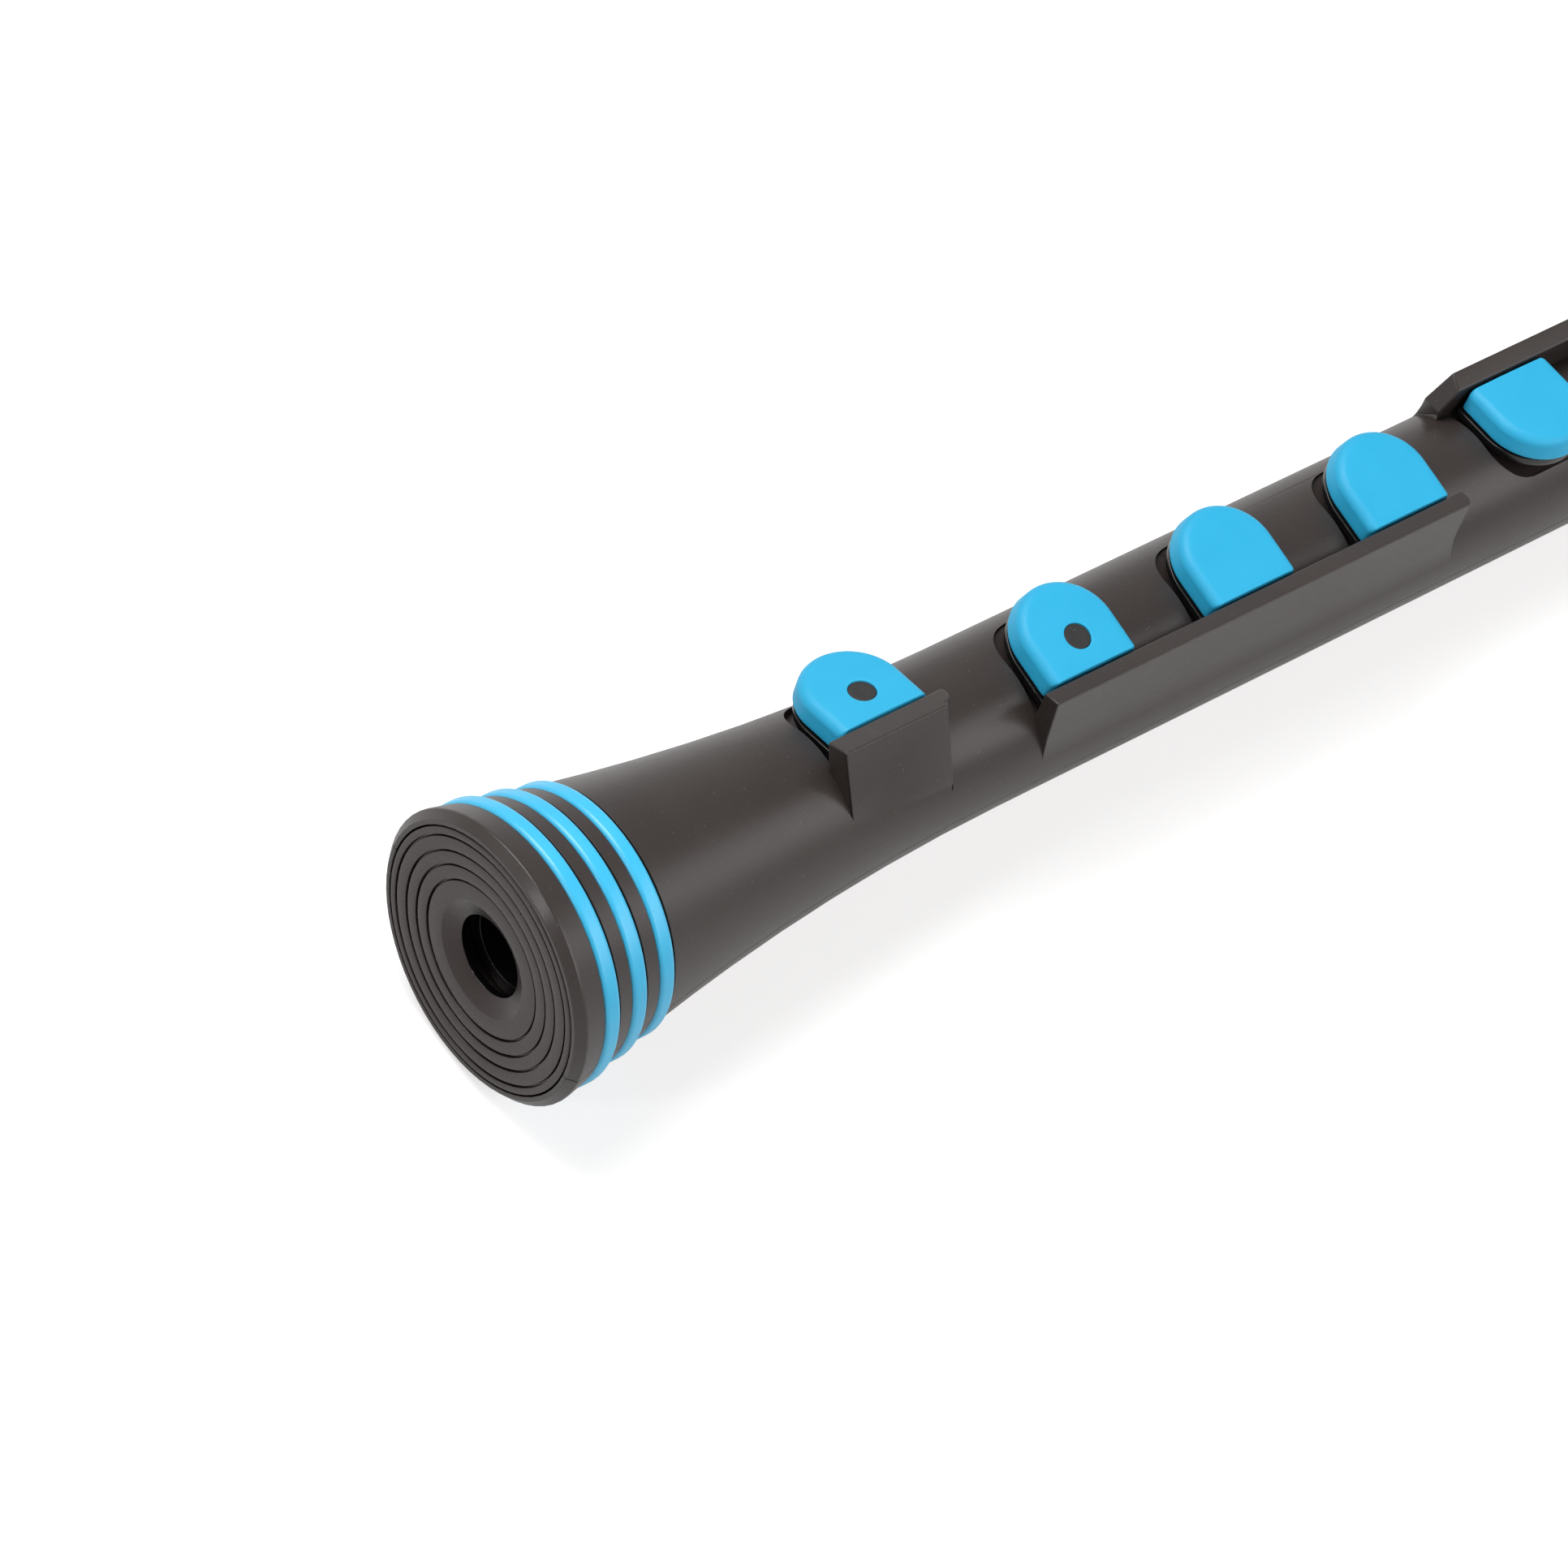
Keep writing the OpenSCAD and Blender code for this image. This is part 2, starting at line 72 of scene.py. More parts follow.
# When the outline is drawn in, its side at the rail moves by this share of the inset. The two
# corners there shrink from the first radius by the second number for each mm, down to the third.
RAIL_SHARE, CAP_CORNER, CORNER_FALL, CORNER_LEAST = 0.16, 0.75, 0.45, 0.15
# The wall of the vent from the bottom up, as clearance round the plug and height, and the
# clearance at which the top starts
VENT_WALL = ((0.03, -0.5), (0.03, -0.12), (0.06, -0.04))
VENT_EDGE = 0.14
# Where the cap's sides end, and the rim under them as inset and height
CAP_SIDE_END = -CAP_H + 0.12
CAP_RIM = ((0.04, -CAP_H + 0.03), (0.14, -CAP_H))
BOSS_CORNER = 0.12

# The plug's top is a little below the cap's and dimpled within a radius, and its foot stands
# inside the pad
PLUG_TOP, DIMPLE_R, DIMPLE, PLUG_FOOT_INSET = -0.14, 1.0, 0.05, 0.05

# How much narrower than its solid a grip ring is drawn: towards the foot at its seat and at its
# outside, and towards the head. Its four corners are rounded, the outer ones to a half round.
SEAT_INSET, FOOT_INSET, HEAD_INSET = 0.03, 0.02, 0.05
RING_ROUNDINGS = [0.15, 0.95, 1.0, 0.15]

# The foot disc is drawn 0.1 smaller than its solid, so that the gap round it is as wide as the
# photograph shows, and its hub fills the hollow. Each groove's radius has the depths of the
# terraces inside and outside it. The dish starts at a radius and a depth.
DISC_R, DISC_HUB_R = 15.8, 13.0
GROOVE_HALF, GROOVE_DEEP, GROOVE_FLOOR_SHARE = 0.14, 0.42, 0.7
GROOVES = {9.5: (0.30, 0.20), 11.3: (0.20, 0.12), 13.0: (0.12, 0.05), 14.8: (0.05, 0.0)}
DISH_EDGE = [7.1, 0.36]

# Copies of CAD meshes: points nearer than this are merged, facets that turn less are joined,
# and edges that turn more are rounded
MERGE_M, FLAT_DEGREES, EDGE_DEGREES = 1.5e-6, 0.2, 30
# An edge so far outside the body's skin stands proud of it
BEVEL_SEGMENTS, PROUD_BY = 3, 0.8
# A corner is on the body's skin when it is this near to it, clear of the rim's chamfer by this
# much, and its face turns less than 28 degrees from the true arc
SKIN_NEAR, CLEAR_OF_CHAMFER, SKIN_ALONG = 0.12, 0.1, 0.883


# ---- meshes ----

def mesh_object(name, verts_mm, faces):
    """A smooth mesh object at the origin from points in millimetres and faces as index rows."""
    mesh = bpy.data.meshes.new(name)
    mesh.from_pydata((np.asarray(verts_mm, float) * MM).tolist(), [], [list(f) for f in faces])
    mesh.polygons.foreach_set("use_smooth", np.ones(len(mesh.polygons), bool))
    mesh.validate()
    mesh.update()
    return linked(name, mesh)


def linked(name, data):
    """A new object of the scene with that data."""
    obj = bpy.data.objects.new(name, data)
    scene.collection.objects.link(obj)
    return obj


def ring_faces(rows, columns, close_rows):
    """Quads of a grid whose columns close on themselves, and whose rows do if asked."""
    r = np.arange(rows if close_rows else rows - 1)[:, None]
    c = np.arange(columns)[None, :]
    r2, c2 = (r + 1) % rows, (c + 1) % columns
    quads = np.stack([r * columns + c, r * columns + c2, r2 * columns + c2, r2 * columns + c], -1)
    return quads.reshape(-1, 4)


def rounded(profile, radii, steps):
    """Closed outline with its corners rounded: at each corner an arc of that radius tangent to
    both sides, drawn as steps + 1 points; radius 0 keeps the corner. An arc takes less than
    half of a side, and a corner that is nearly straight is kept."""
    straight, most_of_side = math.radians(178), 0.48
    pts = np.asarray(profile, float)
    out = []
    for i, (p, r) in enumerate(zip(pts, radii)):
        a, b = pts[i - 1] - p, pts[(i + 1) % len(pts)] - p
        a_len, b_len = np.linalg.norm(a), np.linalg.norm(b)
        a, b = a / a_len, b / b_len
        angle = math.acos(np.clip(a @ b, -1, 1))
        if r <= 0 or angle > straight:
            out.append(p)
            continue
        reach = min(r / math.tan(angle / 2), most_of_side * a_len, most_of_side * b_len)
        r = reach * math.tan(angle / 2)
        middle = (a + b) / np.linalg.norm(a + b) * r / math.sin(angle / 2)
        start, end = a * reach - middle, b * reach - middle
        sweep = math.acos(np.clip(start @ end / r / r, -1, 1))
        for t in np.linspace(0, 1, steps + 1):
            k = (math.sin((1 - t) * sweep) * start + math.sin(t * sweep) * end) / math.sin(sweep)
            out.append(p + middle + k)
    return np.array(out)


def circle_of(radii, steps):
    """For each radius, the two coordinates of a circle of that many points round the origin."""
    a = np.linspace(0, 2 * np.pi, steps, endpoint=False)
    return radii[:, None] * np.cos(a), radii[:, None] * np.sin(a)


def lathe(name, outline):
    """Closed outline of (radius, x) points turned round the X axis:
    the point at angle a is (x, radius cos a, radius sin a)."""
    r, x = np.asarray(outline, float).T
    y, z = circle_of(r, TURN_STEPS)
    verts = np.stack([x[:, None] + np.zeros(TURN_STEPS), y, z], -1)
    return outward(mesh_object(name, verts.reshape(-1, 3), ring_faces(len(r), TURN_STEPS, True)))


def outward(obj):
    """Turns every face outwards."""
    bm = bmesh.new()
    bm.from_mesh(obj.data)
    bmesh.ops.recalc_face_normals(bm, faces=bm.faces)
    bm.to_mesh(obj.data)
    bm.free()
    return obj


def crisp(obj, degrees):
    """Shades smooth, with edges sharper than the angle left sharp."""
    obj.data.polygons.foreach_set("use_smooth", np.ones(len(obj.data.polygons), bool))
    obj.data.set_sharp_from_angle(angle=math.radians(degrees))
    return obj


def flare_radius(x):
    """Outside radius of the body: an arc of radius FLARE_R from the rim, tangent to the tube."""
    x = np.asarray(x, float)
    arc = BODY_R + FLARE_R - np.sqrt(np.maximum(FLARE_R ** 2 - (FLARE_END - x) ** 2, 0))
    return np.where(x < FLARE_END, arc, BODY_R)


# ---- the keys ----

def turned(y, z, degrees):
    """The two coordinates turned round the X axis."""
    c, s = math.cos(math.radians(degrees)), math.sin(math.radians(degrees))
    return y * c - z * s, y * s + z * c


def key_to_world(points, key):
    """Points from the tilted frame of an open key (z = 0 the top of its cap, y = 0 the face of
    its rail) to the frame: turned open round X, lifted to the rail, then turned, or mirrored to
    the other side, as the key lies."""
    x, y, z = np.asarray(points, float).reshape(-1, 3).T
    y, z = turned(y, z, KEY_OPEN)
    y, z = y - RAIL_IN, z + RAIL_TOP
    if key == FOOT_KEY:
        y, z = turned(y, z + FOOT_LIFT, -FOOT_TURN)
    if key <= LAST_LEFT_KEY:
        y = -y
    return np.stack([x + KEY_X[key], y, z], -1)


def d_outline(half, start, end, corner):
    """The letter D as points: a straight base at y = start with rounded corners, straight sides,
    and a half circle of radius half whose top is at y = end. The steps stay the same for every
    size, so that outlines of different sizes can be joined point by point."""
    n_base, n_corner, n_side, n_arc = 16, 7, 14, 72
    corner = min(corner, half * 0.9)
    centre = end - half
    base = np.linspace(-half + corner, half - corner, n_base, endpoint=False)
    turn = np.linspace(-math.pi / 2, 0, n_corner, endpoint=False)
    side = np.linspace(start + corner, centre, n_side, endpoint=False)
    arc = np.linspace(0, math.pi, n_arc, endpoint=False)
    corner_x = half - corner + corner * np.cos(turn)
    corner_y = start + corner + corner * np.sin(turn)
    step = (centre - start - corner) / n_side
    return np.concatenate([
        np.stack([base, np.full(n_base, start)], -1),
        np.stack([corner_x, corner_y], -1),
        np.stack([np.full(n_side, half), side], -1),
        np.stack([half * np.cos(arc), centre + half * np.sin(arc)], -1),
        np.stack([np.full(n_side, -half), side[::-1] + step], -1),
        np.stack([-corner_x, corner_y], -1)[::-1],
    ])


def circle_like(outline, centre, radius):
    """A circle with one point for each point of an outline, in the same directions."""
    d = outline - centre
    return centre + radius * d / np.linalg.norm(d, axis=1)[:, None]


def cap_skin(key):
    """Closed skin of a silicone cap. Rings of D outlines run from the vent or the middle of the
    top, which falls away from the middle as the square of the distance, over a wide rounded
    shoulder, down the drafted sides, round the rim and up the hollow that the lever's boss
    fills, to its ceiling. Along the rail the shoulder is tight, and the cap meets the rail."""
    vented = key >= FIRST_VENTED_KEY
    middle = np.array([0.0, VENT_Y if vented else CAP_MIDDLE_Y])
    rings = []

    def ring(outline, z):
        rings.append(np.column_stack([outline, np.broadcast_to(z, len(outline))]))

    def d_at(inset):
        corner = max(CAP_CORNER - CORNER_FALL * inset, CORNER_LEAST)
        return d_outline(CAP_HALF - inset, CAP_START + RAIL_SHARE * inset, CAP_LEN - inset, corner)

    def top_z(outline):
        return -CAP_CROWN * (np.linalg.norm(outline - middle, axis=1) / CAP_HALF) ** 2

    top = d_at(CAP_DRAFT + CAP_SHOULDER)
    core = circle_like(top, middle, PLUG_R + VENT_EDGE if vented else PINHOLE_R)
    if vented:
        for clearance, z in VENT_WALL:
            ring(circle_like(top, middle, PLUG_R + clearance), z)
    for k in np.linspace(0, 1, 14)[:-1]:
        row = core * (1 - k) + top * k
        ring(row, top_z(row))
    shoulder_h = CAP_SHOULDER + SHOULDER_EXTRA
    for turn in np.linspace(0, math.pi / 2, 13):
        row = d_at(CAP_DRAFT + CAP_SHOULDER * (1 - math.sin(turn)))
        ring(row, top_z(row) * (1 - turn / math.pi * 2) - shoulder_h * (1 - math.cos(turn)))
    for z in np.linspace(-shoulder_h, CAP_SIDE_END, 6)[1:]:
        ring(d_at(CAP_DRAFT * (z + CAP_H) / (CAP_H - CAP_SHOULDER)), z)
    for inset, z in CAP_RIM:
        ring(d_at(inset), z)
    boss = d_outline(BOSS_HALF, BOSS_START, BOSS_LEN, BOSS_CORNER)
    for z in np.linspace(-CAP_H, BOSS_TOP, 3):
        ring(boss, z)
    inner = circle_like(boss, middle, PLUG_R + VENT_WALL[0][0] if vented else PINHOLE_R)
    for k in np.linspace(0, 1, 5)[1:]:
        ring(boss * (1 - k) + inner * k, BOSS_TOP)
    count, width = len(rings), len(top)
    faces = [tuple(f) for f in ring_faces(count, width, vented)]
    if not vented:
        faces.append(tuple(range(width)))
        faces.append(tuple(reversed(range((count - 1) * width, count * width))))
    obj = mesh_object(f"cap_{key}", key_to_world(np.concatenate(rings), key), faces)
    return crisp(outward(obj), TURNED_CREASE)


def plug_skin(key):
    """A turned plug: a flat disc with a rounded edge and a faint dimple, upright in the vent.
    The point at angle a is (radius cos a, VENT_Y + radius sin a, z)."""
    foot = PAD_BOTTOM + PLUG_FOOT_INSET
    outline = rounded(
        [[PINHOLE_R, PLUG_TOP - DIMPLE], [DIMPLE_R, PLUG_TOP], [PLUG_R, PLUG_TOP], [PLUG_R, foot],
         [PINHOLE_R, foot]],
        [0, 0.3, 0.12, 0.1, 0], 4,
    )
    r, z = outline.T
    x, y = circle_of(r, PLUG_STEPS)
    verts = np.stack([x, VENT_Y + y, z[:, None] + np.zeros(PLUG_STEPS)], -1)
    faces = ring_faces(len(r), PLUG_STEPS, True)
    obj = mesh_object(f"vent_plug_{key}", key_to_world(verts, key), faces)
    return crisp(outward(obj), TURNED_CREASE)


# ---- turned pieces of the foot ----

def grip_ring_skin(i):
    """A grip ring: a rounded strip turned round the body, a half round on a flat seat."""
    x = RING_START + (i - 1) * RING_PITCH
    inner = float(flare_radius(x)) - RING_DEPTH
    outer = inner + RING_DEPTH + RING_PROUD
    head_side = x + RING_W - HEAD_INSET
    outline = rounded(
        [[inner, x + SEAT_INSET], [outer, x + FOOT_INSET], [outer, head_side], [inner, head_side]],
        RING_ROUNDINGS, 12,
    )
    return crisp(lathe(f"ring_{i}", outline), TURNED_CREASE)


def foot_plate_skin():
    """The foot disc: an outline with four narrow grooves, terraces a few hundredths of a
    millimetre high between them, and a dish that runs to the thin lip of the hole, turned round
    the bore. Behind the lip a recess takes the end of the bore tube."""
    recess_r = TUBE_R + TUBE_PLAY
    floor_half = GROOVE_HALF * GROOVE_FLOOR_SHARE
    pts = [[recess_r, DISC_BACK], [recess_r, LIP_END],
           [HOLE_R, LIP_END], [HOLE_R, LIP_START], DISH_EDGE]
    radii = [0.1, 0.1, 0.08, 0.1, 0.35]
    for r, (inside, outside) in GROOVES.items():
        pts += [[r - GROOVE_HALF, inside], [r - floor_half, inside + GROOVE_DEEP],
                [r + floor_half, inside + GROOVE_DEEP], [r + GROOVE_HALF, outside]]
        radii += [0.08, 0.05, 0.05, 0.08]
    pts += [[DISC_R, 0.0], [DISC_R, DISC_SEAT], [DISC_HUB_R, DISC_SEAT], [DISC_HUB_R, DISC_BACK]]
    radii += [0.18, 0.1, 0.0, 0.1]
    return crisp(lathe("foot_plate", rounded(pts, radii, 4)), TURNED_CREASE)


# ---- moulded pieces taken from the CAD nodes ----

def moulded_copy(node, name, edge, proud_edge=0.0):
    """A merged copy of a CAD node with its outer edges rounded by a bevel. Edges that stand
    proud of the body's skin, as those of the rails, get the wider rounding if one is given. The
    normals are then weighted by area, so that flat faces stay flat and the roundings carry the
    light."""
    bm = bmesh.new()
    bm.from_mesh(nodes[node].data)
    bmesh.ops.remove_doubles(bm, verts=bm.verts, dist=MERGE_M)
    flat = math.radians(FLAT_DEGREES)
    bmesh.ops.dissolve_limit(bm, angle_limit=flat, verts=bm.verts, edges=bm.edges)
    widest = max(edge, proud_edge)
    weight = bm.edges.layers.float.new("bevel_weight_edge")
    for e in bm.edges:
        if e.is_convex and e.calc_face_angle(0.0) > math.radians(EDGE_DEGREES):
            x, y, z = (e.verts[0].co + e.verts[1].co) / (2 * MM)
            proud = proud_edge > 0 and math.hypot(y, z) > flare_radius(x) + PROUD_BY
            e[weight] = (proud_edge if proud else edge) / widest
    mesh = bpy.data.meshes.new(name)
    bm.to_mesh(mesh)
    bm.free()
    obj = linked(name, mesh)
    bevel = obj.modifiers.new("edge rounding", "BEVEL")
    bevel.width = widest * MM
    bevel.segments = BEVEL_SEGMENTS
    bevel.limit_method = "WEIGHT"
    bevel.miter_outer = "MITER_ARC"
    bevel.use_clamp_overlap = False
    apply_modifiers(obj)
    crisp(obj, MOULDED_CREASE)
    even = obj.modifiers.new("normals by area", "WEIGHTED_NORMAL")
    even.keep_sharp = True
    apply_modifiers(obj)
    return obj


def apply_modifiers(obj):
    """Puts the evaluated mesh in the place of the object's own."""
    graph = bpy.context.evaluated_depsgraph_get()
    done = bpy.data.meshes.new_from_object(obj.evaluated_get(graph))
    obj.modifiers.clear()
    obj.data = done
    done.name = obj.name


def vectors(items, attribute):
    """One vector attribute of all the items of a mesh collection, as rows."""
    values = np.empty(len(items) * 3)
    items.foreach_get(attribute, values)
    return values.reshape(-1, 3)


def flare_normals(obj):
    """Gives the outside of the body the normals of the true arc: at (x, y, z) the outward normal
    is the radial direction tilted by the arc's slope. Other places keep their own."""
    mesh = obj.data
    normals = vectors(mesh.corner_normals, "vector")
    corner = np.empty(len(mesh.loops), int)
    mesh.loops.foreach_get("vertex_index", corner)
    x, y, z = (vectors(mesh.vertices, "co") / MM)[corner].T
    r = np.hypot(y, z)
    run = FLARE_END - x
    slope = np.where(run > 0, run / np.sqrt(np.maximum(FLARE_R ** 2 - run ** 2, 1)), 0.0)
    true = np.stack([slope, y / r, z / r], -1)
    true /= np.linalg.norm(true, axis=1)[:, None]
    sides = np.empty(len(mesh.polygons), int)
    mesh.polygons.foreach_get("loop_total", sides)
    face = np.repeat(vectors(mesh.polygons, "normal"), sides, axis=0)
    near = (np.abs(r - flare_radius(x)) < SKIN_NEAR) & (x > RIM_CHAMFER + CLEAR_OF_CHAMFER)
    on_skin = near & (np.sum(face * true, 1) > SKIN_ALONG)
    normals[on_skin] = true[on_skin]
    mesh.normals_split_custom_set(normals.tolist())


# ---- materials ----

def linear(hex_colour):
    """The linear RGBA of an sRGB hex colour."""
    rgb = [int(hex_colour[i:i + 2], 16) / 255 for i in (1, 3, 5)]
    return tuple(c / 12.92 if c <= 0.04045 else ((c + 0.055) / 1.055) ** 2.4 for c in rgb) + (1.0,)


def add(tree, kind, inputs=None, **settings):
    """Adds one node with its settings, and its inputs as values or as the sockets linked in."""
    made = tree.nodes.new(kind)
    for key, value in settings.items():
        setattr(made, key, value)
    for key, value in (inputs or {}).items():
        if isinstance(value, bpy.types.NodeSocket):
            tree.links.new(value, made.inputs[key])
        else:
            made.inputs[key].default_value = value
    return made


def new_material(name):
    """A material without nodes, its node tree, and the coordinates of its object."""
    mat = bpy.data.materials.new(name)
    mat.use_nodes = True
    tree = mat.node_tree
    tree.nodes.clear()
    return mat, tree, add(tree, "ShaderNodeTexCoord").outputs["Object"]


def per_mm(size):
    """Noise scale whose features are about that many millimetres wide, in metre coordinates."""
    return 1.0 / (size * MM)


# The width of the grain of ABS, of the clouds in its sheen, and of the specks of dust, and the
# depth of the grain on satin and on polished plastic
GRAIN, CLOUD, SPECK = 0.25, 14.0, 0.35
SATIN_DEPTH, POLISHED_DEPTH = 0.012, 0.001
# The noise values at which dust starts to show and is full, and the most that grain and clouds
# add to the roughness, or take away
DUST_COLOUR, DUST_FROM, DUST_FULL = "#8a8682", 0.79, 0.83
SHEEN_SPREAD = 0.07
# Painted shade in the hole: its near-black colour, the hole wall's roughness, and the width over
# which the shade passes into the moulded skin
HOLE_SHADE_COLOUR, HOLE_ROUGHNESS, HOLE_SHADE_EDGE = "#0a0909", 0.2, 0.1


def moulded_abs(name, dark, light, roughness, grain_depth=SATIN_DEPTH, dust=0.12, hole=0.0,
                shine="#ffffff"):
    """ABS from a spark-eroded mould: a warm charcoal black, a fine even grain that spreads the
    highlights, slow changes of sheen where the part was handled, and stray specks of dust.
    Within the radius hole of the bore's axis it is painted near black as the shade in the hole,
    and glossier. Its reflections take the colour shine."""
    mat, tree, at = new_material(name)
    grain = add(tree, "ShaderNodeTexNoise", {
        "Vector": at, "Scale": per_mm(GRAIN), "Detail": 2.0, "Roughness": 0.6}).outputs["Fac"]
    cloud = add(tree, "ShaderNodeTexNoise", {
        "Vector": at, "Scale": per_mm(CLOUD), "Detail": 3.0, "Roughness": 0.55}).outputs["Fac"]
    speck = add(tree, "ShaderNodeTexNoise", {"Vector": at, "Scale": per_mm(SPECK), "Detail": 0.0})
    speck_mask = add(tree, "ShaderNodeMapRange", {
        "Value": speck.outputs["Fac"], "From Min": DUST_FROM, "From Max": DUST_FULL,
        "To Min": 0.0, "To Max": dust})
    tint = add(tree, "ShaderNodeMix", {
        "Factor": cloud, 6: linear(dark), 7: linear(light)}, data_type="RGBA")
    colour = add(tree, "ShaderNodeMix", {
        "Factor": speck_mask.outputs["Result"], 6: tint.outputs[2], 7: linear(DUST_COLOUR)},
        data_type="RGBA").outputs[2]
    sheen_noise = add(tree, "ShaderNodeMath", {0: grain, 1: cloud}, operation="ADD")
    sheen = add(tree, "ShaderNodeMapRange", {
        "Value": sheen_noise.outputs[0], "From Min": 0.6, "From Max": 1.4,
        "To Min": roughness - SHEEN_SPREAD, "To Max": roughness + SHEEN_SPREAD,
    }).outputs["Result"]
    bump = add(tree, "ShaderNodeBump", {
        "Height": grain, "Strength": 0.8, "Distance": grain_depth * MM})
    # Painted shade: within the hole's radius the colour runs to near black for the shade inside
    # the hole, and the roughness drops
    if hole > 0:
        across_bore = add(tree, "ShaderNodeVectorMath", {
            0: at, 1: (0.0, 1.0, 1.0)}, operation="MULTIPLY").outputs[0]
        radius = add(tree, "ShaderNodeVectorMath", {
            0: across_bore}, operation="LENGTH").outputs["Value"]
        outside = add(tree, "ShaderNodeMapRange", {
            "Value": radius, "From Min": hole * MM,
            "From Max": (hole + HOLE_SHADE_EDGE) * MM}).outputs["Result"]
        colour = add(tree, "ShaderNodeMix", {
            "Factor": outside, 6: linear(HOLE_SHADE_COLOUR), 7: colour},
            data_type="RGBA").outputs[2]
        sheen = add(tree, "ShaderNodeMix", {
            "Factor": outside, 2: HOLE_ROUGHNESS, 3: sheen}, data_type="FLOAT").outputs[0]
    shader = add(tree, "ShaderNodeBsdfPrincipled", {
        "Base Color": colour, "Roughness": sheen, "Normal": bump.outputs["Normal"], "IOR": 1.5,
        "Specular Tint": linear(shine)})
    add(tree, "ShaderNodeOutputMaterial", {"Surface": shader.outputs[0]})
    return mat


def moulded_silicone(name, deep, light, roughness=0.5, ior=1.41):
    """Silicone rubber from a smooth mould: a clear strong blue, a little light carried through
    the skin, a soft wide sheen, and a faint mottle."""
    mat, tree, at = new_material(name)
    mottle = add(tree, "ShaderNodeTexNoise", {"Vector": at, "Scale": per_mm(4.0), "Detail": 3.0})
    grain = add(tree, "ShaderNodeTexNoise", {"Vector": at, "Scale": per_mm(0.4), "Detail": 2.0})
    tint = add(tree, "ShaderNodeMix", {
        "Factor": mottle.outputs["Fac"], 6: linear(deep), 7: linear(light)}, data_type="RGBA")
    bump = add(tree, "ShaderNodeBump", {
        "Height": grain.outputs["Fac"], "Strength": 0.3, "Distance": 0.002 * MM})
    shader = add(tree, "ShaderNodeBsdfPrincipled", {
        "Base Color": tint.outputs[2], "Roughness": roughness, "Normal": bump.outputs["Normal"],
        "IOR": ior, "Subsurface Weight": 0.15, "Subsurface Radius": (0.3, 0.8, 1.0),
        "Subsurface Scale": 0.6 * MM})
    add(tree, "ShaderNodeOutputMaterial", {"Surface": shader.outputs[0]})
    return mat


def ground_steel(name):
    """Spring steel wire and ground rod: bright, with fine lines round it, about 0.1 mm apart
    along the bore and 3 mm long."""
    mat, tree, at = new_material(name)
    squeezed = add(tree, "ShaderNodeMapping", {"Vector": at, "Scale": (9000.0, 300.0, 300.0)})
    lines = add(tree, "ShaderNodeTexNoise", {
        "Vector": squeezed.outputs[0], "Scale": 1.0, "Detail": 3.0})
    rough = add(tree, "ShaderNodeMapRange", {
        "Value": lines.outputs["Fac"], "To Min": 0.2, "To Max": 0.42})
    shader = add(tree, "ShaderNodeBsdfPrincipled", {
        "Base Color": linear("#c4c6c9"), "Metallic": 1.0, "Roughness": rough.outputs["Result"]})
    add(tree, "ShaderNodeOutputMaterial", {"Surface": shader.outputs[0]})
    return mat


abs_body = moulded_abs("moulded satin ABS", "#2f2826", "#38312e", 0.34)
# The foot's ABS is the body's drawn darker, as painted shade on the foot disc, and near black in
# the hole as the hole's painted shade
abs_foot_shaded = moulded_abs("moulded foot ABS with painted shade", "#201918", "#27201f", 0.3, dust=0.1,
                       hole=HOLE_R + 0.02, shine="#fff0ee")
# The bore tube is glossy and drawn blacker than the body's ABS, as painted shade inside the bore
abs_bore_shaded = moulded_abs("polished bore ABS with painted shade", "#121111", "#161515", 0.25, POLISHED_DEPTH, 0.0)
abs_lever = moulded_abs("polished lever ABS", "#171616", "#1c1b1a", 0.22, POLISHED_DEPTH, 0.1)
rubber = moulded_abs("moulded nitrile rubber", "#1d1c1c", "#242323", 0.6, dust=0.2)
silicone_caps = moulded_silicone("moulded blue silicone", "#29abd7", "#31b2de")
# The rings' silicone is drawn paler than the caps', as painted light from the front that the lamps
# don't give
silicone_rings_lit = moulded_silicone("moulded ring silicone with painted light", "#35bae8", "#40c3ef", 0.32, 1.6)
steel = ground_steel("ground spring steel")


# ---- pieces ----

def dress(obj, body, node, material):
    """Gives a piece its finish, and puts it on its body in the place of its CAD node."""
    obj.data.materials.clear()
    obj.data.materials.append(material)
    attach(obj, body)
    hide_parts(node)


for i in KEY_X:
    dress(cap_skin(i), f"key_{i}", f"key_{i}_cap", silicone_caps)
    lever = moulded_copy(f"key_{i}_lever", f"lever_{i}", edge=0.1)
    dress(lever, f"key_{i}", f"key_{i}_lever", abs_lever)
    if i >= FIRST_VENTED_KEY:
        dress(plug_skin(i), f"key_{i}", f"key_{i}_plug", rubber)
for i in (1, 2, 3):
    dress(grip_ring_skin(i), "body", f"grip_ring_{i}", silicone_rings_lit)
dress(foot_plate_skin(), "body", "foot_disc", abs_foot_shaded)
for node, name, edge, proud_edge in (
        ("upper_shell", "body_upper", 0.09, 0.24), ("lower_shell", "body_lower", 0.09, 0.0)):
    shell = moulded_copy(node, name, edge, proud_edge)
    flare_normals(shell)
    dress(shell, "body", node, abs_body)
for node, name, body, edge, material in (
        ("thumb_bush", "thumb_collar", "body", 0.3, abs_body),
        ("bore_tube", "bore_pipe", "body", 0.1, abs_bore_shaded),
        ("head_shell", "head_tube", "head", 0.15, abs_body),
        ("windway_block", "windway_floor", "head", 0.12, abs_body)):
    dress(moulded_copy(node, name, edge), body, node, material)

